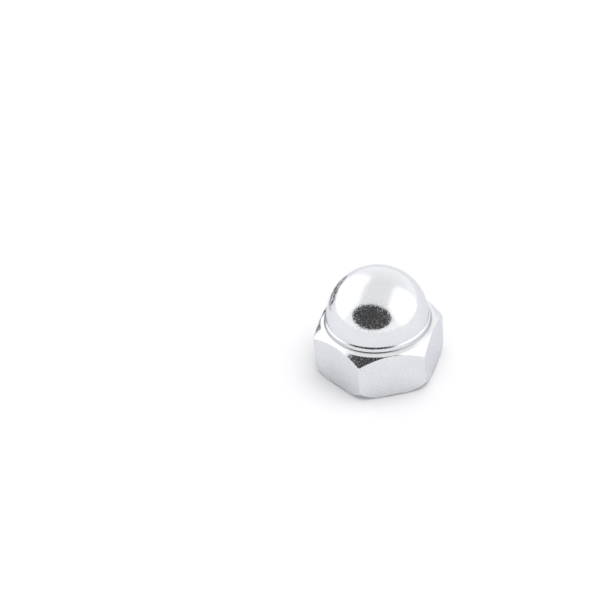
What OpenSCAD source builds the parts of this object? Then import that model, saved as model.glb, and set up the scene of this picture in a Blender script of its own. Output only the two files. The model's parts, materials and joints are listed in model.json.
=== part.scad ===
// Low-crown cap nut: a hexagon nut and its closed, domed crown made as one piece.
// Millimetres. The nut stands on its open end: z = 0 is the bearing face, the
// thread axis is Z and the crown points to +Z. Two corners lie on the X axis.

/* [Hexagon] */
// Distance between opposite flats of the hexagon
across_flats = 13; // [10:0.5:19]
// How far the narrow rounded lands take in the six corners
corner_relief = 0.055; // [0.02:0.005:0.2]
// How far inside the flats the round bearing face ends
bearing_inset = 0.05; // [0.02:0.01:0.5]
// Slope of the chamfer next to the bearing face, in degrees
base_slope = 22; // [5:1:40]
// Slope of the base chamfer out at the corners, in degrees
base_corner_slope = 53; // [20:1:60]
// How far outside the flats the base chamfer steepens towards the corners
break_out = 0.3; // [0.2:0.05:0.6]
// How far inside the flats the crowned top ends and the corners' chamfer begins
top_inset = 0.06; // [0.02:0.01:0.3]
// Slope of the chamfer that takes off the top corners, in degrees
top_corner_slope = 43; // [35:1:60]
// Fall of the crowned top, from the neck out to the corners' chamfer
crown_fall = 0.26; // [0.1:0.02:0.4]
// Radius of the crowning over the hexagon's top
crowning_r = 8; // [4:0.5:40]

/* [Neck] */
// How far inside the flats the round neck between the hexagon and the dome is
neck_inset = 0.56; // [0.4:0.02:1]
// Height from the neck's foot, on the hexagon, to the middle of the dome
neck_h = 0.46; // [0.38:0.02:1]
// Radius of the fillet where the neck stands on the hexagon
neck_fillet = 0.25; // [0.1:0.05:0.3]
// Radius of the rounded upper edge of the neck
neck_edge_r = 0.22; // [0.16:0.02:0.26]
// Radius of the hollow between the neck's upper edge and the dome
dome_fillet = 0.25; // [0.15:0.05:0.35]

/* [Dome] */
// Height of the whole nut
height = 12.25; // [9:0.25:18]
// How far the dome stands inside the neck
dome_step = 0.17; // [0.12:0.01:0.24]
// Thickness of metal over the tip of the drilled hole
crown_wall = 1.62; // [0.8:0.02:5]

/* [Thread] */
// Nominal diameter of the thread the nut is tapped for
thread_d = 8; // [4:0.5:9.5]
// Pitch of the thread
thread_pitch = 1.25; // [0.5:0.25:2]
// How much wider than the thread the countersunk mouth is
mouth_extra = 0.6; // [0.1:0.1:2]
// Included angle of the countersunk mouth, in degrees
mouth_angle = 120; // [60:1:150]
// Included angle of the drilled bottom of the hole, in degrees
drill_angle = 118; // [90:1:150]

/* [Hidden] */
$fn = 96;
// How far areas of the outline that are joined run into each other
join = 0.4;
// How far arcs that touch run into each other, so that they cross and close cleanly
seat = 0.0002;
// Length past the nut for areas that only trim it
reach = 20;

// Radii, each measured from the flats
flat_r = across_flats / 2;
corner_r = flat_r / cos(30) - corner_relief;
base_r = flat_r - bearing_inset;
break_r = flat_r + break_out;
top_r = flat_r - top_inset;
neck_r = flat_r - neck_inset;
dome_r = neck_r - dome_step;

// Heights, each measured down from the top of the dome
dome_z = height - dome_r;
shoulder_h = dome_z - neck_h;
top_h = shoulder_h - crown_fall;
corner_h = top_h - (corner_r - top_r) * tan(top_corner_slope);

// The base chamfer steepens on its way out to the corners
base_break_h = (break_r - base_r) * tan(base_slope);
base_corner_h = base_break_h + (corner_r - break_r) * tan(base_corner_slope);

// Centre of the crowning, an arc from the neck out to the corners' chamfer
crown_run = top_r - neck_r;
crown_chord = norm([crown_run, crown_fall]);
crown_depth = leg(crowning_r, crown_chord / 2);
crown = [
    (top_r + neck_r) / 2 - crown_depth * crown_fall / crown_chord,
    (top_h + shoulder_h) / 2 - crown_depth * crown_run / crown_chord
];

// The hole is drilled to the thread's diameter less its pitch, up to the crown's wall
hole_r = (thread_d - thread_pitch) / 2;
mouth_r = (thread_d + mouth_extra) / 2;
mouth_h = (mouth_r - hole_r) / tan(mouth_angle / 2);
drill_point_h = hole_r / tan(drill_angle / 2);
hole_depth = height - crown_wall - drill_point_h;

// Centre of the foot fillet, which touches the neck and the crowning
foot_x = neck_r + neck_fillet - seat;
foot = [foot_x, crown[1] + leg(crowning_r + neck_fillet - seat, foot_x - crown[0])];

// Centre of the hollow at the dome's foot, which touches the dome
hollow_h = dome_fillet;
hollow = [leg(dome_r + dome_fillet - seat, hollow_h), dome_z + hollow_h];

// Centre of the neck's rounded upper edge, which touches that hollow and the neck
edge_x = neck_r - neck_edge_r;
edge = [edge_x, hollow[1] - leg(dome_fillet + neck_edge_r - seat, hollow[0] - edge_x)];

// The other leg of a right triangle, from its hypotenuse and one leg
function leg(hypotenuse, side) = sqrt(hypotenuse * hypotenuse - side * side);

// Cap nut: a hexagonal bar, turned to its outline and tapped from below
module cap_nut() {
    color([0.80, 0.81, 0.83])
        difference() {
            intersection() {
                hexagon_bar();
                turned_form();
            }
            rotate_extrude() hole_outline();
        }
}

module hexagon_bar() {
    translate([0, 0, -1])
        cylinder(h = height + 2, r = flat_r / cos(30), $fn = 6);
}

// The nut as a round turned piece, wide enough for the corners
module turned_form() {
    rotate_extrude() body_outline();
    rotate_extrude() foot_outline();
    rotate_extrude() neck_outline();
    rotate_extrude() edge_outline();
    rotate_extrude() hollow_outline();
    rotate_extrude() dome_outline();
}

// The hexagon's turned form: where its base and top chamfers overlap, they meet
module body_outline() {
    difference() {
        intersection() {
            base_outline();
            top_outline();
        }
        difference() {
            translate([0, corner_h]) square(reach);
            translate(crown) circle(r = crowning_r);
        }
    }
}

// Bearing face and base chamfer, carried on past the corners
module base_outline() {
    past_h = shoulder_h + 2 * join;
    polygon([
        [0, 0],
        [base_r, 0],
        [break_r, base_break_h],
        [corner_r + join, base_corner_h + join * tan(base_corner_slope)],
        [corner_r + join, past_h],
        [0, past_h]
    ]);
}

// Corners and their top chamfer, carried on below the bearing face
module top_outline() {
    over_h = shoulder_h + join;
    polygon([
        [0, -join],
        [corner_r, -join],
        [corner_r, corner_h],
        [corner_r - (over_h - corner_h) / tan(top_corner_slope), over_h],
        [0, over_h]
    ]);
}

// Fillet between the neck and the crowning
module foot_outline() {
    root = foot - (foot - crown) * (neck_fillet + join) / crowning_r;
    difference() {
        polygon([[neck_r - join, root[1]], root, foot, [neck_r - join, foot[1]]]);
        translate(foot) circle(r = neck_fillet);
    }
}

module neck_outline() {
    translate([0, corner_h]) square([neck_r, edge[1] - corner_h]);
}

module edge_outline() {
    translate(edge) circle(r = neck_edge_r);
}

// What fills the step between the dome and the neck's upper edge
module hollow_outline() {
    difference() {
        polygon([[0, edge[1]], edge, hollow, [0, dome_z]]);
        translate(hollow) circle(r = dome_fillet);
    }
}

module dome_outline() {
    intersection() {
        translate([0, dome_z]) circle(r = dome_r);
        translate([0, dome_z]) square(dome_r + join);
    }
}

// Half outline of the blind hole, with its countersunk mouth and drilled bottom
module hole_outline() {
    polygon([
        [0, -1],
        [mouth_r + tan(mouth_angle / 2), -1],
        [hole_r, mouth_h],
        [hole_r, hole_depth],
        [0, hole_depth + drill_point_h]
    ]);
}

cap_nut();
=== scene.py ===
"""Low-crown cap nut, plated bright: its body with a cut thread, its finish and its studio.

Laid out as an add-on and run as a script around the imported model.
"""
import json
import math

import bmesh
import bpy
from bpy.props import FloatProperty, FloatVectorProperty, PointerProperty
from mathutils import Matrix, Vector

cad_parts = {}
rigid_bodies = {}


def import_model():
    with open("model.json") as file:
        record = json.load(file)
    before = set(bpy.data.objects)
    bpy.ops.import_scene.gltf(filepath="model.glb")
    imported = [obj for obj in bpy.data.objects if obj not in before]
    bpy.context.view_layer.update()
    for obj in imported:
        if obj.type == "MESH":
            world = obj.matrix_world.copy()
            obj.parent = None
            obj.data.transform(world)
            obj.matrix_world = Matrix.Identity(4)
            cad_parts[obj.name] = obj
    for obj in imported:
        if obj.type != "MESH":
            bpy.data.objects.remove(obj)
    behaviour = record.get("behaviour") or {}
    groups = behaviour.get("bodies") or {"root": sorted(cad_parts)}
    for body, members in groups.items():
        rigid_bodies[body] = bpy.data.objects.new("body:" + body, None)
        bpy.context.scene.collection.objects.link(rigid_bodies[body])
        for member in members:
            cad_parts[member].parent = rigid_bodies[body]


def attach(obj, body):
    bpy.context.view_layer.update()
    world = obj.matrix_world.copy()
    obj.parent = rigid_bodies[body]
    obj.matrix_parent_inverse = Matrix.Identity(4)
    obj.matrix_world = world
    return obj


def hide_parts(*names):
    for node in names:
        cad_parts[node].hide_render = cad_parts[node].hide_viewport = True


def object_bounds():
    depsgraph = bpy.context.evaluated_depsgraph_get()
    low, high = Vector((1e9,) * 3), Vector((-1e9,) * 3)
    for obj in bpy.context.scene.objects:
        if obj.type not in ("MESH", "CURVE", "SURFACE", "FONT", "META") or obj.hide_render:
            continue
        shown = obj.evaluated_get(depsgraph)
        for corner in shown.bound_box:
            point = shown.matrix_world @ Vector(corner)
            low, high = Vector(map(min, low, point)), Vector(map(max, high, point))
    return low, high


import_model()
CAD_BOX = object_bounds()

bl_info = {
    "name": "Low-crown cap nut",
    "version": (1, 0, 0),
    "blender": (4, 5, 0),
    "location": "3D View > Sidebar > Cap nut",
    "description": "Models a plated hexagonal cap nut with a domed crown and a cut thread",
    "category": "Object",
}

CAD_NODE = "cap_nut"

# The nut is modelled in millimetres and brought to metres when it is finished
MM = 1000.0
# Vertices nearer than this, in millimetres, are one vertex
WELD = 0.0005
# Edges that turn more than this stay crisp
CRISP_ANGLE = math.radians(18)
# Points whose turns about the axis differ by less than this are on one outline
SAME_TURN = 1e-5

# A hexagon has six sides, and half a side spans 30 degrees
SIDES = 6
HALF_SIDE = math.pi / SIDES
# How finely the arcs of the outline are drawn, in steps
EDGE_STEPS = 6
NECK_STEPS = 9
HOLLOW_STEPS = 7
DOME_STEPS = 52
# How finely the hole and one turn of the thread are drawn, in steps
DRILL_STEPS = 144
THREAD_STEPS = 96
# Where the last outlines before a corner stand, as shares of the way to its rounding
TOWARDS_CORNER = (0.5, 0.85, 1.0)
# Heights of the points up a flat, as shares of it, the outer two close beside its edges
UP_THE_FLAT = (0.012, 0.2, 0.4, 0.6, 0.8, 0.988)
# How far from the top chamfer's inner edge the outline has a point on either side
BESIDE_EDGE = 0.02
# How far the cutters start below the bearing face, and inside the bore's wall
BELOW_FACE = 1.0
INSIDE_WALL = 0.06
# Included angle of a metric thread
THREAD_ANGLE = math.radians(60)

# What the light and the mirrored cards face
MIDDLE_OF_NUT = (0.0, 0.0, 0.006)
FLOOR_WIDTH = 6.0
TOP_LIGHT_AZIMUTH = 80
TOP_LIGHT_ELEVATION = 74
TOP_LIGHT_DISTANCE = 1.25
TOP_LIGHT_WIDTH = 1.4
# Heights on the room's sphere between which its brightness changes
HORIZON_HEIGHT = 0.1
CEILING_HEIGHT = 0.85


# ---------------------------------------------------------------- sizes

def length(name, description, default):
    return FloatProperty(
        name=name, description=description, default=default, min=0.0,
        precision=5, subtype="DISTANCE", unit="LENGTH",
    )


def angle(name, description, degrees):
    return FloatProperty(
        name=name, description=description, default=math.radians(degrees),
        precision=3, subtype="ANGLE", unit="ROTATION",
    )


class CapNutSizes(bpy.types.PropertyGroup):
    """Sizes of the nut"""

    across_flats: length(
        "Across flats", "Distance between opposite flats", CAD_BOX[1][1] - CAD_BOX[0][1])
    height: length(
        "Height", "From the bearing face to the top of the dome", CAD_BOX[1][2])
    corner_round: length(
        "Corner rounding", "Radius of the hexagon's six upright corners", 0.00036)
    bearing_inset: length(
        "Bearing inset", "How far inside the flats the round bearing face ends", 0.00005)
    base_round: length(
        "Base rounding", "Radius of the bulged chamfer under the hexagon", 0.00175)
    base_slope: angle("Base slope", "Slope of that chamfer at the bearing face", 22)
    base_edge: length(
        "Lower edge", "Radius of the edge between the flats and the base chamfer", 0.00006)
    top_edge: length(
        "Upper edge", "Radius of the edge between the flats and the top chamfer", 0.0002)
    top_inset: length(
        "Top inset", "How far inside the flats the corners' chamfer begins", 0.00006)
    top_corner_slope: angle(
        "Top corner slope", "Slope of the chamfer that takes off the top corners", 43)
    crown_fall: length(
        "Crown fall", "Fall of the crowned top from the neck to the corners' chamfer", 0.00026)
    crowning: length("Crowning", "Radius of the crowning over the hexagon's top", 0.008)
    neck_inset: length("Neck inset", "How far inside the flats the neck is", 0.00056)
    neck_height: length(
        "Neck height", "From the neck's foot to the middle of the dome", 0.00046)
    neck_fillet: length("Neck fillet", "Radius of the fillet at the neck's foot", 0.00025)
    neck_edge: length("Neck edge", "Radius of the neck's rounded upper edge", 0.00022)
    dome_fillet: length("Dome fillet", "Radius of the hollow at the dome's foot", 0.00025)
    dome_step: length("Dome step", "How far the dome stands inside the neck", 0.00017)
    thread: length("Thread", "Nominal diameter of the thread", 0.008)
    pitch: length("Pitch", "Pitch of the thread", 0.00125)
    crown_wall: length(
        "Crown wall", "Thickness of metal over the tip of the drilled hole", 0.00162)
    mouth_extra: length(
        "Mouth", "How much wider than the thread the countersunk mouth is", 0.0006)
    mouth_angle: angle("Mouth angle", "Included angle of the countersunk mouth", 120)
    drill_angle: angle("Drill angle", "Included angle of the hole's drilled bottom", 118)
    turn_step: angle("Turn step", "Angle between two outlines round the nut", 1.5)


class PlatingLook(bpy.types.PropertyGroup):
    """Look of the bright plating"""

    tint: FloatVectorProperty(
        name="Tint", description="Colour of the plating", subtype="COLOR", size=3,
        default=(0.75, 0.76, 0.78), min=0.0, max=1.0)
    edge_tint: FloatVectorProperty(
        name="Edge tint", description="Colour at grazing angles", subtype="COLOR", size=3,
        default=(0.86, 0.865, 0.88), min=0.0, max=1.0)
    polish: FloatProperty(
        name="Polish", description="Roughness where the plating is brightest",
        default=0.055, min=0.0, max=1.0, precision=3)
    haze: FloatProperty(
        name="Haze", description="Roughness added where the plating is dullest",
        default=0.07, min=0.0, max=1.0, precision=3)
    # The next two set painted shade: a dark tint and its strength, which darken the neck's creases
    # and paint a contact shadow round the base
    painted_shade_tint: FloatVectorProperty(
        name="Dull tint", description="Colour of the plating at the neck and round the base",
        subtype="COLOR", size=3, default=(0.20, 0.20, 0.22), min=0.0, max=1.0)
    painted_shade_amount: FloatProperty(
        name="Dullness", description="How dull the plating is at the neck and round the base",
        default=0.68, min=0.0, max=1.0, precision=3)
    grain: FloatProperty(
        name="Grain", description="Strength of the plating's fine grain",
        default=0.25, min=0.0, max=1.0, precision=3)
    specks: FloatProperty(
        name="Specks", description="Roughness added on the grain's high spots",
        default=0.26, min=0.0, max=1.0, precision=3)
    waves: FloatProperty(
        name="Waves", description="Strength of the waves that polishing leaves",
        default=0.012, min=0.0, max=1.0, precision=3)


class StudioLook(bpy.types.PropertyGroup):
    """Floor, room, light, cards and camera"""

    floor_tint: FloatVectorProperty(
        name="Floor", description="Colour of the floor", subtype="COLOR", size=3,
        default=(0.72, 0.72, 0.735), min=0.0, max=1.0)
    horizon: FloatProperty(
        name="Horizon", description="Brightness of the white room low down",
        default=1.22, min=0.0, precision=3)
    ceiling: FloatProperty(
        name="Ceiling", description="Brightness of the white room overhead",
        default=1.0, min=0.0, precision=3)
    softbox: FloatProperty(
        name="Softboxes", description="Brightness of the two softboxes",
        default=1.6, min=0.0, precision=3)
    camera_side: FloatProperty(
        name="Camera side", description="Brightness of the dark place round the camera",
        default=0.022, min=0.0, precision=3)
    top_light: FloatProperty(
        name="Top light", description="Power of the light overhead, in watts",
        default=9.0, min=0.0, precision=3)
    aim: FloatVectorProperty(
        name="Aim", description="Point on the floor that the camera looks at",
        subtype="TRANSLATION", unit="LENGTH", size=3, default=(-0.0085059, 0.01211990, 0.0),
        precision=5)
    distance: length("Distance", "From that point to the camera", 0.25792)
    heading: angle("Heading", "Turn of the camera and the aim about the nut's axis", -8.4771)
    elevation: angle("Elevation", "Height of the camera above the floor, as an angle", 38.4968)
    roll: angle("Roll", "Tilt of the camera about its own line of sight", 4.9565)
    lens: FloatProperty(
        name="Lens", description="Focal length, in millimetres", default=130.85, min=1.0)


# ---------------------------------------------------------------- outlines, in millimetres

def other_leg(hypotenuse, side):
    return math.sqrt(hypotenuse * hypotenuse - side * side)


def arc(centre, radius, start, end, steps):
    """Points on an arc in the outline's plane, from one direction to another."""
    return [
        (centre[0] + radius * math.cos(start + (end - start) * i / steps),
         centre[1] + radius * math.sin(start + (end - start) * i / steps))
        for i in range(steps + 1)
    ]


def direction(a, b):
    return math.atan2(b[1] - a[1], b[0] - a[0])


class NutOutline:
    """The nut's outline, worked out from its sizes."""

    def __init__(self, sizes):
        self.flat_r = sizes.across_flats * MM / 2
        self.corner_round = sizes.corner_round * MM
        self.base_r = self.flat_r - sizes.bearing_inset * MM
        self.neck_r = self.flat_r - sizes.neck_inset * MM
        self.dome_r = self.neck_r - sizes.dome_step * MM
        self.height = sizes.height * MM
        self.dome_z = self.height - self.dome_r
        self.base_edge = sizes.base_edge * MM
        self.top_edge = sizes.top_edge * MM
        self.neck_edge = sizes.neck_edge * MM
        self.neck_fillet = sizes.neck_fillet * MM
        self.dome_fillet = sizes.dome_fillet * MM

        # The base chamfer is an arc that leaves the bearing face at the base slope
        self.base_round = sizes.base_round * MM
        self.base = (
            self.base_r - self.base_round * math.sin(sizes.base_slope),
            self.base_round * math.cos(sizes.base_slope),
        )
        # The crowned top is an arc from the neck's foot down to the corners' chamfer
        self.crowning = sizes.crowning * MM
        self.corner_slope = sizes.top_corner_slope
        shoulder = (self.neck_r, self.dome_z - sizes.neck_height * MM)
        outer = (self.flat_r - sizes.top_inset * MM, shoulder[1] - sizes.crown_fall * MM)
        self.top = outer
        chord = math.dist(shoulder, outer)
        depth = other_leg(self.crowning, chord / 2) / chord
        self.crown = (
            (shoulder[0] + outer[0]) / 2 - depth * (shoulder[1] - outer[1]),
            (shoulder[1] + outer[1]) / 2 - depth * (outer[0] - shoulder[0]),
        )
        # Fillet on the crowned top at the neck, hollow at the dome, and the edge between
        foot_x = self.neck_r + self.neck_fillet
        self.foot = (foot_x, self.crown[1] + other_leg(
            self.crowning + self.neck_fillet, foot_x - self.crown[0]))
        self.hollow = (other_leg(self.dome_r + self.dome_fillet, self.dome_fillet),
                       self.dome_z + self.dome_fillet)
        edge_x = self.neck_r - self.neck_edge
        self.edge = (edge_x, self.hollow[1] - other_leg(
            self.dome_fillet + self.neck_edge, self.hollow[0] - edge_x))

        self.mouth_r = (sizes.thread + sizes.mouth_extra) * MM / 2
        self.pitch = sizes.pitch * MM
        self.thread_r = sizes.thread * MM / 2
        self.hole_r = (sizes.thread - sizes.pitch) * MM / 2
        self.mouth_tan = math.tan(sizes.mouth_angle / 2)
        point = self.hole_r / math.tan(sizes.drill_angle / 2)
        self.hole_top = self.height - sizes.crown_wall * MM
        self.hole_depth = self.hole_top - point

    def turns(self, step):
        """Angles of the outlines from the middle of a flat to the corner, closer at the corner."""
        tangent = math.atan((self.flat_r - self.corner_round) * math.tan(HALF_SIDE)
                            / self.flat_r)
        count = int(tangent / step)
        found = [i * step for i in range(count)]
        last = found[-1]
        found += [last + (tangent - last) * share for share in TOWARDS_CORNER]
        found += [tangent + (HALF_SIDE - tangent) * i / EDGE_STEPS
                  for i in range(1, EDGE_STEPS + 1)]
        return found

    def reach(self, turn):
        """How far out the hexagon is, that far round from the middle of a flat."""
        centre = (self.flat_r - self.corner_round) / math.cos(HALF_SIDE)
        off = HALF_SIDE - turn
        side = centre * math.sin(off)
        flat = self.flat_r / math.cos(turn)
        if side >= self.corner_round:
            return flat
        return min(flat, centre * math.cos(off) + other_leg(self.corner_round, side))

    def hexagon(self, turn):
        """Outline from the bearing face over the base chamfer, flat and crowned top to the neck."""
        out = self.reach(turn)
        low = (out - self.base_edge, self.base[1] - other_leg(
            self.base_round - self.base_edge, out - self.base_edge - self.base[0]))
        high = (out - self.top_edge, self.chamfer(out - self.top_edge)
                - self.top_edge / math.cos(self.corner_slope))
        base_end = direction(self.base, low)
        foot_end = direction(self.crown, self.foot)
        points = arc(self.base, self.base_round,
                     direction(self.base, (self.base_r, 0)), base_end, EDGE_STEPS)
        points += arc(low, self.base_edge, base_end, 0, EDGE_STEPS)[1:]
        upright = high[1] - low[1]
        points += [(out, low[1] + upright * share) for share in UP_THE_FLAT]
        points += arc(high, self.top_edge, 0, math.pi / 2 - self.corner_slope, EDGE_STEPS)
        near = self.top[0] + BESIDE_EDGE * math.cos(self.corner_slope)
        middle = (points[-1][0] + near) / 2
        points += [(r, self.chamfer(r)) for r in (middle, near, self.top[0])]
        points += arc(self.crown, self.crowning,
                      direction(self.crown, self.top) + BESIDE_EDGE / self.crowning,
                      foot_end, EDGE_STEPS)
        return points

    def chamfer(self, r):
        """Height of the top corners' chamfer, that far out."""
        return self.top[1] - (r - self.top[0]) * math.tan(self.corner_slope)

    def turned(self):
        """Outline from the neck's foot over its edge and the hollow to the top of the dome."""
        foot_start = direction(self.foot, self.crown)
        hollow_start = direction(self.hollow, self.edge)
        hollow_end = direction(self.hollow, (0, self.dome_z))
        points = arc(self.foot, self.neck_fillet, foot_start + 2 * math.pi, math.pi, NECK_STEPS)
        points += arc(self.edge, self.neck_edge, 0,
                      direction(self.edge, self.hollow), NECK_STEPS)
        points += arc(self.hollow, self.dome_fillet, hollow_start + 2 * math.pi,
                      hollow_end + 2 * math.pi, HOLLOW_STEPS)[1:]
        points += arc((0, self.dome_z), self.dome_r,
                      direction((0, self.dome_z), self.hollow), math.pi / 2, DOME_STEPS)[1:]
        return points

    def hole(self):
        """Outline of the blind hole: countersunk mouth, wall and drilled bottom."""
        rim = (self.mouth_r - self.hole_r) / self.mouth_tan
        return [
            (0, -BELOW_FACE),
            (self.mouth_r + BELOW_FACE * self.mouth_tan, -BELOW_FACE),
            (self.hole_r, rim),
            (self.hole_r, self.hole_depth),
            (0, self.hole_top),
        ]

    def groove(self):
        """Section of the thread's groove, whose bottom is flat for an eighth of the pitch."""
        inner = self.hole_r - INSIDE_WALL
        root = self.pitch / 8 / 2
        wide = root + (self.thread_r - inner) * math.tan(THREAD_ANGLE / 2)
        return [(inner, -wide), (self.thread_r, -root), (self.thread_r, root), (inner, wide)]


# ---------------------------------------------------------------- modelling helpers

def new_piece(name):
    """Starts an empty mesh to draw in, selected alone and in edit mode."""
    if bpy.context.mode != "OBJECT":
        bpy.ops.object.mode_set(mode="OBJECT")
    bpy.ops.object.select_all(action="DESELECT")
    bpy.ops.mesh.primitive_plane_add(size=1.0, location=(0, 0, 0))
    piece = bpy.context.active_object
    piece.name = name
    piece.data.name = name
    bpy.ops.object.mode_set(mode="EDIT")
    bpy.ops.mesh.select_all(action="SELECT")
    bpy.ops.mesh.delete(type="VERT")
    return piece


def draw_line(points):
    """Draws a line of edges: a point, then one extrusion to each next point."""
    bpy.ops.mesh.select_all(action="DESELECT")
    bpy.ops.mesh.primitive_plane_add(size=0.1, location=points[0])
    bpy.ops.mesh.merge(type="CENTER")
    for a, b in zip(points, points[1:]):
        bpy.ops.mesh.extrude_vertices_move(
            TRANSFORM_OT_translate={"value": tuple(Vector(b) - Vector(a))})


def upright(outline, turn):
    """Stands an outline up in the half-plane that far round the axis."""
    c, s = math.cos(turn), math.sin(turn)
    return [(r * c, r * s, z) for r, z in outline]


def select_edges(piece, wanted):
    """Selects the edges that a test of their two ends picks out."""
    bpy.ops.mesh.select_mode(type="EDGE")
    bpy.ops.mesh.select_all(action="DESELECT")
    mesh = bmesh.from_edit_mesh(piece.data)
    for edge in mesh.edges:
        if wanted(edge.verts[0].co, edge.verts[1].co):
            edge.select = True
    mesh.select_flush_mode()
    bmesh.update_edit_mesh(piece.data)


def weld_and_face_out():
    bpy.ops.mesh.select_mode(type="VERT")
    bpy.ops.mesh.select_all(action="SELECT")
    bpy.ops.mesh.remove_doubles(threshold=WELD)
    bpy.ops.mesh.normals_make_consistent(inside=False)


def select_alone(piece):
    bpy.ops.object.select_all(action="DESELECT")
    piece.select_set(True)
    bpy.context.view_layer.objects.active = piece


def cut_away(piece, cutter):
    """Takes the cutter's shape out of the piece, and removes the cutter."""
    select_alone(piece)
    cut = piece.modifiers.new("Cut", "BOOLEAN")
    cut.operation = "DIFFERENCE"
    cut.solver = "EXACT"
    cut.object = cutter
    bpy.ops.object.modifier_apply(modifier=cut.name)
    bpy.data.objects.remove(cutter)


# ---------------------------------------------------------------- the nut

def loft_hexagon(piece, outline, turns, middle):
    """A twelfth of the hexagon, from the middle of a flat to a corner, lofted over outlines."""
    for turn in turns:
        draw_line(upright(outline.hexagon(turn), middle + turn))

    def at(point, turn):
        return abs(math.atan2(point.y, point.x) - middle - turn) < SAME_TURN

    for near, far in zip(turns, turns[1:]):
        select_edges(piece, lambda a, b: (at(a, near) and at(b, near))
                     or (at(a, far) and at(b, far)))
        bpy.ops.mesh.bridge_edge_loops()


def turn_crown(outline, turns, middle):
    """The same twelfth of the neck and dome, turned outline by outline."""
    bpy.ops.mesh.select_mode(type="VERT")
    draw_line(upright(outline.turned(), middle))
    bpy.ops.mesh.select_linked()
    for near, far in zip(turns, turns[1:]):
        bpy.ops.mesh.extrude_edges_move()
        bpy.ops.transform.rotate(
            value=near - far, orient_axis="Z", orient_type="GLOBAL", center_override=(0, 0, 0))


def repeat_round():
    """Mirrors the twelfth, then copies that sixth round the axis."""
    bpy.ops.mesh.select_mode(type="VERT")
    bpy.ops.mesh.select_all(action="SELECT")
    bpy.ops.mesh.duplicate()
    bpy.ops.transform.resize(value=(-1, 1, 1), orient_type="GLOBAL", center_override=(0, 0, 0))
    bpy.ops.mesh.select_all(action="SELECT")
    for _ in range(SIDES - 1):
        bpy.ops.mesh.duplicate()
        bpy.ops.transform.rotate(
            value=2 * HALF_SIDE, orient_axis="Z", orient_type="GLOBAL",
            center_override=(0, 0, 0))


def close_base(piece, outline):
    """Closes the bearing face."""
    rim = outline.base_r + WELD
    select_edges(piece, lambda a, b: a.z < WELD and b.z < WELD
                 and a.xy.length < rim and b.xy.length < rim)
    bpy.ops.mesh.edge_face_add()


def drill(outline):
    """The drill and countersink, as a solid to cut with."""
    cutter = new_piece("drill")
    draw_line([(r, 0, z) for r, z in outline.hole()])
    bpy.ops.mesh.select_all(action="SELECT")
    bpy.ops.mesh.spin(steps=DRILL_STEPS, angle=2 * math.pi, center=(0, 0, 0),
                      axis=(0, 0, 1), use_auto_merge=True)
    weld_and_face_out()
    bpy.ops.object.mode_set(mode="OBJECT")
    return cutter


def tap(outline):
    """A ridge wound up the hole as the tap cuts, as a solid to cut with.

    It starts a turn below the bearing face and stops short of the drilled bottom.
    """
    cutter = new_piece("tap")
    section = outline.groove()
    start = -outline.pitch
    draw_line([(r, 0, start + z) for r, z in section + section[:1]])
    weld_and_face_out()
    bpy.ops.object.mode_set(mode="OBJECT")
    wind = cutter.modifiers.new("Wind", "SCREW")
    wind.axis = "Z"
    wind.angle = 2 * math.pi
    wind.screw_offset = outline.pitch
    wind.iterations = int((outline.hole_depth - start) / outline.pitch) - 1
    wind.steps = wind.render_steps = THREAD_STEPS
    bpy.ops.object.modifier_apply(modifier=wind.name)
    bpy.ops.object.mode_set(mode="EDIT")
    bpy.ops.mesh.select_all(action="SELECT")
    bpy.ops.mesh.fill_holes(sides=0)
    weld_and_face_out()
    bpy.ops.object.mode_set(mode="OBJECT")
    return cutter


class CAPNUT_OT_body(bpy.types.Operator):
    """Models the nut in one piece: hexagon, neck, dome, drilled hole and thread"""

    bl_idname = "capnut.body"
    bl_label = "Model the cap nut"

    def execute(self, context):
        outline = NutOutline(context.scene.cap_nut_sizes)
        turns = outline.turns(context.scene.cap_nut_sizes.turn_step)
        middle = math.pi / 2
        piece = new_piece("cap_nut_body")
        loft_hexagon(piece, outline, turns, middle)
        turn_crown(outline, turns, middle)
        weld_and_face_out()
        repeat_round()
        weld_and_face_out()
        close_base(piece, outline)
        weld_and_face_out()
        bpy.ops.object.mode_set(mode="OBJECT")
        cut_away(piece, drill(outline))
        cut_away(piece, tap(outline))

        select_alone(piece)
        bpy.ops.object.mode_set(mode="EDIT")
        bpy.ops.mesh.select_all(action="SELECT")
        bpy.ops.transform.resize(value=(1 / MM, 1 / MM, 1 / MM), center_override=(0, 0, 0))
        bpy.ops.object.mode_set(mode="OBJECT")
        bpy.ops.object.shade_smooth_by_angle(angle=CRISP_ANGLE)

        piece.data.materials.clear()
        piece.data.materials.append(bright_plating(context.scene.cap_nut_plating, outline))
        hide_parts(CAD_NODE)
        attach(piece, "root")
        return {"FINISHED"}


# ---------------------------------------------------------------- finish

# Noises' scales: broad patches of haze, the fine grain and the waves of polishing
PATCH_SCALE = 320.0
GRAIN_SCALE = 7500.0
WAVE_SCALE = 700.0
# Values of the noise between which it takes effect: on tint, on roughness, and as specks
TINT_RANGE = (0.3, 0.7)
ROUGH_RANGE = (0.35, 0.75)
SPECK_RANGE = (0.52, 0.66)
CARD_SPECK_RANGE = (0.42, 0.68)
# Depths of the grain and the waves at full strength, in metres
GRAIN_DEPTH = 0.000024
WAVE_DEPTH = 0.0002
# Where the rings of painted shade run, which also add roughness, in millimetres: out from the neck
# or the base's rim, and up from the middle of the foot fillet, the middle of the dome or the
# bearing face
FOOT_RING = (0.06, -0.17)
HOLLOW_RING = (-0.10, 0.13)
RIM_RING = (0.03, 0.03)
# How far each ring reaches, in metres
FOOT_RING_WIDTH = 0.00020
HOLLOW_RING_WIDTH = 0.00014
RIM_RING_WIDTH = 0.0003
# How strong the ring in the hollow is, and how much roughness a ring adds
HOLLOW_SHARE = 0.4
RING_ROUGHNESS = 0.12
# How bright the haziest plating is, as a share of the tint
HAZY_TINT_SHARE = 0.95


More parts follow.
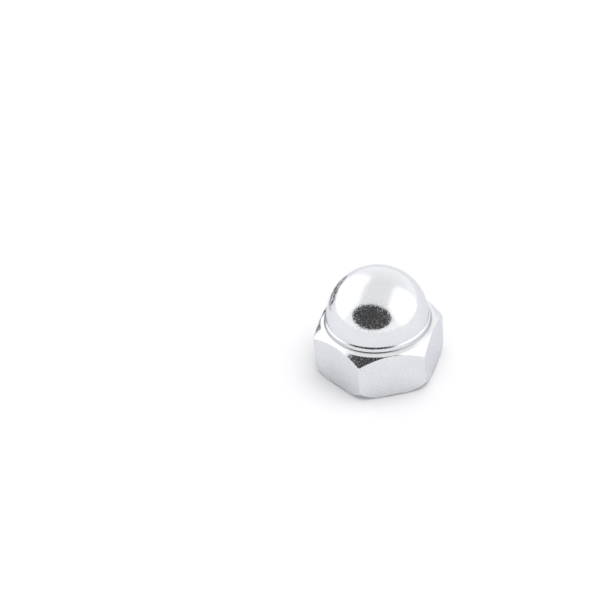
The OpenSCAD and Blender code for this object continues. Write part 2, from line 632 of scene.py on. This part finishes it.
def noise(nodes, links, place, scale, detail, roughness=0.5):
    found = nodes.new("ShaderNodeTexNoise")
    found.inputs["Scale"].default_value = scale
    found.inputs["Detail"].default_value = detail
    found.inputs["Roughness"].default_value = roughness
    links.new(place, found.inputs["Vector"])
    return found.outputs["Fac"]


def spread(nodes, links, value, low, high, at_low, at_high):
    """Maps a value's range smoothly on to another."""
    found = nodes.new("ShaderNodeMapRange")
    found.interpolation_type = "SMOOTHSTEP"
    found.inputs["From Min"].default_value = low
    found.inputs["From Max"].default_value = high
    found.inputs["To Min"].default_value = at_low
    found.inputs["To Max"].default_value = at_high
    links.new(value, found.inputs["Value"])
    return found.outputs["Result"]


def combine(nodes, links, operation, a, b):
    found = nodes.new("ShaderNodeMath")
    found.operation = operation
    for socket, value in zip(found.inputs, (a, b)):
        if isinstance(value, float):
            socket.default_value = value
        else:
            links.new(value, socket)
    return found.outputs["Value"]


def vector_math(nodes, links, operation, *inputs):
    """Works out a vector, or with LENGTH a number, from sockets and fixed vectors."""
    found = nodes.new("ShaderNodeVectorMath")
    found.operation = operation
    for socket, value in zip(found.inputs, inputs):
        if isinstance(value, tuple):
            socket.default_value = value
        else:
            links.new(value, socket)
    return found.outputs["Value" if operation == "LENGTH" else "Vector"]


def near_ring(nodes, links, place, radius, height, width):
    """1 on a ring round the axis, fading to 0 at that distance from it."""
    flat = vector_math(nodes, links, "MULTIPLY", place, (1.0, 1.0, 0.0))
    out = vector_math(nodes, links, "LENGTH", flat)
    split = nodes.new("ShaderNodeSeparateXYZ")
    links.new(place, split.inputs["Vector"])
    pair = nodes.new("ShaderNodeCombineXYZ")
    links.new(combine(nodes, links, "SUBTRACT", out, radius), pair.inputs["X"])
    links.new(combine(nodes, links, "SUBTRACT", split.outputs["Z"], height), pair.inputs["Y"])
    apart = vector_math(nodes, links, "LENGTH", pair.outputs["Vector"])
    return spread(nodes, links, apart, 0.0, width, 1.0, 0.0)


def bump(nodes, links, height, strength, distance):
    found = nodes.new("ShaderNodeBump")
    found.inputs["Strength"].default_value = strength
    found.inputs["Distance"].default_value = distance
    links.new(height, found.inputs["Height"])
    return found


def bright_plating(look, outline):
    """Bright plating: a mirror with grain and haze, with painted shade and more roughness at the
    neck and round the base.
    """
    material = bpy.data.materials.new("bright_plating")
    material.use_nodes = True
    nodes, links = material.node_tree.nodes, material.node_tree.links
    shader = nodes["Principled BSDF"]
    shader.inputs["Metallic"].default_value = 1.0
    shader.inputs["Specular Tint"].default_value = (*look.edge_tint, 1.0)
    place = nodes.new("ShaderNodeTexCoord").outputs["Object"]

    # Rings of painted shade, where the plating is also rougher: the neck's foot, the hollow at the
    # dome, the base's rim
    foot = near_ring(nodes, links, place, (outline.neck_r + FOOT_RING[0]) / MM,
                     (outline.foot[1] + FOOT_RING[1]) / MM, FOOT_RING_WIDTH)
    hollow = near_ring(nodes, links, place, (outline.neck_r + HOLLOW_RING[0]) / MM,
                       (outline.dome_z + HOLLOW_RING[1]) / MM, HOLLOW_RING_WIDTH)
    rim = near_ring(nodes, links, place, (outline.base_r + RIM_RING[0]) / MM,
                    RIM_RING[1] / MM, RIM_RING_WIDTH)
    faint_hollow = combine(nodes, links, "MULTIPLY", hollow, HOLLOW_SHARE)
    # Mask of the painted shade in the rings, also used below to add roughness
    corners = combine(nodes, links, "MAXIMUM", foot, combine(
        nodes, links, "MAXIMUM", rim, faint_hollow))

    # Colour: uneven in broad patches, and darkened with painted shade in the rings
    patches = noise(nodes, links, place, PATCH_SCALE, detail=5.0, roughness=0.6)
    haze = spread(nodes, links, patches, *TINT_RANGE, 0.0, 1.0)
    shine = nodes.new("ShaderNodeValToRGB")
    shine.color_ramp.elements[0].color = (*(HAZY_TINT_SHARE * c for c in look.tint), 1.0)
    shine.color_ramp.elements[1].color = (*look.tint, 1.0)
    links.new(haze, shine.inputs["Fac"])
    colour = nodes.new("ShaderNodeMix")
    colour.data_type = "RGBA"
    # Painted shade: the rings mix this dark tint into the plating's colour
    colour.inputs[7].default_value = (*look.painted_shade_tint, 1.0)
    links.new(combine(nodes, links, "MULTIPLY", corners, look.painted_shade_amount), colour.inputs[0])
    links.new(shine.outputs["Color"], colour.inputs[6])
    links.new(colour.outputs[2], shader.inputs["Base Color"])

    # Roughness: the same patches, the grain's high spots and the rings
    rough = spread(
        nodes, links, patches, *ROUGH_RANGE, look.polish, look.polish + look.haze)
    grain = noise(nodes, links, place, GRAIN_SCALE, detail=2.0)
    specks = spread(nodes, links, grain, *SPECK_RANGE, 0.0, look.specks)
    rough_rings = combine(nodes, links, "MULTIPLY", corners, RING_ROUGHNESS)
    links.new(combine(nodes, links, "ADD", rough, combine(
        nodes, links, "ADD", specks, rough_rings)), shader.inputs["Roughness"])

    # Relief: the grain, and over it the waves that polishing leaves
    fine = bump(nodes, links, grain, look.grain, GRAIN_DEPTH)
    polished = noise(nodes, links, place, WAVE_SCALE, detail=3.0)
    waves = bump(nodes, links, polished, look.waves, WAVE_DEPTH)
    links.new(fine.outputs["Normal"], waves.inputs["Normal"])
    links.new(waves.outputs["Normal"], shader.inputs["Normal"])
    return material


# ---------------------------------------------------------------- studio

def aim_point(look):
    return Matrix.Rotation(look.heading, 4, "Z") @ Vector(look.aim)


def toward(azimuth, elevation, distance, heading):
    """A place that far round the nut, from the camera's side to its right, and that high."""
    a, e = math.radians(azimuth), math.radians(elevation)
    flat = distance * math.cos(e)
    place = Vector((flat * math.sin(a), -flat * math.cos(a), distance * math.sin(e)))
    return Matrix.Rotation(heading, 4, "Z") @ place


def facing(place, target):
    """A turn that points an object's back, +Z, away from the target."""
    return (place - target).to_track_quat("Z", "Y").to_euler()


def lay_floor(look):
    bpy.ops.mesh.primitive_plane_add(size=FLOOR_WIDTH, location=(0, 0, 0))
    floor = bpy.context.active_object
    floor.name = "studio_floor"
    paint = bpy.data.materials.new("pale_floor")
    paint.use_nodes = True
    shader = paint.node_tree.nodes["Principled BSDF"]
    shader.inputs["Base Color"].default_value = (*look.floor_tint, 1.0)
    shader.inputs["Roughness"].default_value = 1.0
    shader.inputs["Specular IOR Level"].default_value = 0.0
    floor.data.materials.append(paint)


def hang_top_light(look):
    """A broad light overhead, which the floor gets its soft light and shadow from."""
    place = toward(
        TOP_LIGHT_AZIMUTH, TOP_LIGHT_ELEVATION, TOP_LIGHT_DISTANCE, look.heading)
    bpy.ops.object.light_add(
        type="AREA", location=place, rotation=facing(place, Vector(MIDDLE_OF_NUT)))
    lamp = bpy.context.active_object
    lamp.name = "top_light"
    lamp.data.shape = "DISK"
    lamp.data.size = TOP_LIGHT_WIDTH
    lamp.data.energy = look.top_light
    lamp.visible_camera = False
    lamp.visible_glossy = False


def card_paint(name, wide, high, glow, specks_glow, specks, fade, boxy):
    """Glowing paint with specks, clear from the card's edges inwards."""
    paint = bpy.data.materials.new(name)
    paint.use_nodes = True
    nodes, links = paint.node_tree.nodes, paint.node_tree.links
    nodes.clear()
    place = nodes.new("ShaderNodeTexCoord").outputs["Object"]
    from_middle = place
    if boxy:
        from_middle = vector_math(nodes, links, "MULTIPLY", place, place)
        fade = fade ** 2
    away = vector_math(nodes, links, "LENGTH", from_middle)
    fading = spread(nodes, links, away, fade, 1.0, 0.0, 1.0)

    across = vector_math(nodes, links, "MULTIPLY", place, (wide / 2, high / 2, 1.0))
    mottle = noise(nodes, links, across, specks, detail=1.0)
    light = nodes.new("ShaderNodeEmission")
    links.new(spread(nodes, links, mottle, *CARD_SPECK_RANGE, glow, specks_glow),
              light.inputs["Strength"])
    clear = nodes.new("ShaderNodeBsdfTransparent")
    both = nodes.new("ShaderNodeMixShader")
    links.new(fading, both.inputs["Fac"])
    links.new(light.outputs["Emission"], both.inputs[1])
    links.new(clear.outputs["BSDF"], both.inputs[2])
    out = nodes.new("ShaderNodeOutputMaterial")
    links.new(both.outputs["Shader"], out.inputs["Surface"])
    return paint


def stand_card(name, place, wide, high, glow, specks_glow, specks, fade, boxy):
    """A card that the plating mirrors, and that fades out towards its edges.

    Glow is the card's brightness and specks_glow that of its specks, of which there are
    specks to a metre. It starts to fade at fade, a share of the way out from its middle,
    and is a rounded rectangle if boxy, or else an ellipse.
    """
    bpy.ops.mesh.primitive_plane_add(
        size=2.0, location=place, rotation=facing(place, Vector(MIDDLE_OF_NUT)))
    card = bpy.context.active_object
    card.name = name
    card.scale = (wide / 2, high / 2, 1)
    card.visible_camera = False
    card.visible_diffuse = False
    card.visible_shadow = False
    card.data.materials.append(
        card_paint(name, wide, high, glow, specks_glow, specks, fade, boxy))


def stand_cards(look):
    """The two softboxes, the dark round the camera and a dark shape low on the left."""
    box, dark = look.softbox, look.camera_side
    stand_card(
        "softbox_left", toward(-122, 28, 0.6, look.heading), wide=1.26, high=1.06,
        glow=box, specks_glow=box, specks=20, fade=0.12, boxy=True)
    stand_card(
        "softbox_right", toward(77, 28, 0.6, look.heading), wide=1.04, high=0.94,
        glow=box, specks_glow=box, specks=20, fade=0.10, boxy=True)
    stand_card(
        "dark_camera_side", toward(-19, 35, 0.45, look.heading), wide=0.92, high=0.50,
        glow=dark, specks_glow=0.17, specks=60, fade=0.9, boxy=False)
    stand_card(
        "dark_neighbour", toward(219, 12, 0.023, look.heading), wide=0.019, high=0.011,
        glow=0.02, specks_glow=1.2, specks=420, fade=0.6, boxy=True)


def set_room(look):
    """A white room, a little brighter low down than overhead."""
    world = bpy.data.worlds.new("white_room")
    world.use_nodes = True
    nodes, links = world.node_tree.nodes, world.node_tree.links
    place = nodes.new("ShaderNodeTexCoord")
    split = nodes.new("ShaderNodeSeparateXYZ")
    links.new(place.outputs["Generated"], split.inputs["Vector"])
    height = nodes.new("ShaderNodeMapRange")
    height.inputs["From Min"].default_value = HORIZON_HEIGHT
    height.inputs["From Max"].default_value = CEILING_HEIGHT
    height.inputs["To Min"].default_value = look.horizon
    height.inputs["To Max"].default_value = look.ceiling
    links.new(split.outputs["Z"], height.inputs["Value"])
    links.new(height.outputs["Result"], nodes["Background"].inputs["Strength"])
    nodes["Background"].inputs["Color"].default_value = (1.0, 1.0, 1.0, 1.0)
    bpy.context.scene.world = world
    bpy.context.scene.view_settings.view_transform = "Standard"


def set_camera(look):
    turn = Matrix.Rotation(look.heading, 4, "Z")
    rise = Matrix.Rotation(math.pi / 2 - look.elevation, 4, "X")
    roll = Matrix.Rotation(-look.roll, 4, "Z")
    back = Matrix.Translation((0, 0, look.distance))
    bpy.ops.object.camera_add()
    camera = bpy.context.active_object
    camera.name = "studio_camera"
    camera.matrix_world = (
        Matrix.Translation(aim_point(look)) @ turn @ rise @ back @ roll)
    camera.data.lens = look.lens
    camera.data.sensor_width = 36.0
    camera.data.clip_start = 0.01
    camera.data.clip_end = 20.0
    bpy.context.scene.camera = camera


class CAPNUT_OT_studio(bpy.types.Operator):
    """Sets up the pale floor, the top light, the mirrored cards, the white room and the camera"""

    bl_idname = "capnut.studio"
    bl_label = "Set up the studio"

    def execute(self, context):
        look = context.scene.cap_nut_studio
        bpy.ops.object.select_all(action="DESELECT")
        lay_floor(look)
        hang_top_light(look)
        stand_cards(look)
        set_room(look)
        set_camera(look)
        return {"FINISHED"}


# ---------------------------------------------------------------- panel

class CAPNUT_PT_panel(bpy.types.Panel):
    """Sizes and looks of the cap nut, and the steps that model it"""

    bl_idname = "CAPNUT_PT_panel"
    bl_label = "Cap nut"
    bl_space_type = "VIEW_3D"
    bl_region_type = "UI"
    bl_category = "Cap nut"

    def draw(self, context):
        for title, group, step in (
            ("Nut", context.scene.cap_nut_sizes, CAPNUT_OT_body),
            ("Plating", context.scene.cap_nut_plating, None),
            ("Studio", context.scene.cap_nut_studio, CAPNUT_OT_studio),
        ):
            box = self.layout.box()
            box.label(text=title)
            for name in group.__annotations__:
                box.prop(group, name)
            if step:
                box.operator(step.bl_idname)


CLASSES = (
    CapNutSizes, PlatingLook, StudioLook, CAPNUT_OT_body, CAPNUT_OT_studio, CAPNUT_PT_panel,
)
GROUPS = {
    "cap_nut_sizes": CapNutSizes, "cap_nut_plating": PlatingLook, "cap_nut_studio": StudioLook,
}


def register():
    for cls in CLASSES:
        bpy.utils.register_class(cls)
    for name, group in GROUPS.items():
        setattr(bpy.types.Scene, name, PointerProperty(type=group))


def unregister():
    for name in GROUPS:
        delattr(bpy.types.Scene, name)
    for cls in reversed(CLASSES):
        bpy.utils.unregister_class(cls)


def main():
    register()
    bpy.ops.capnut.body()
    bpy.ops.capnut.studio()


if __name__ == "__main__":
    main()
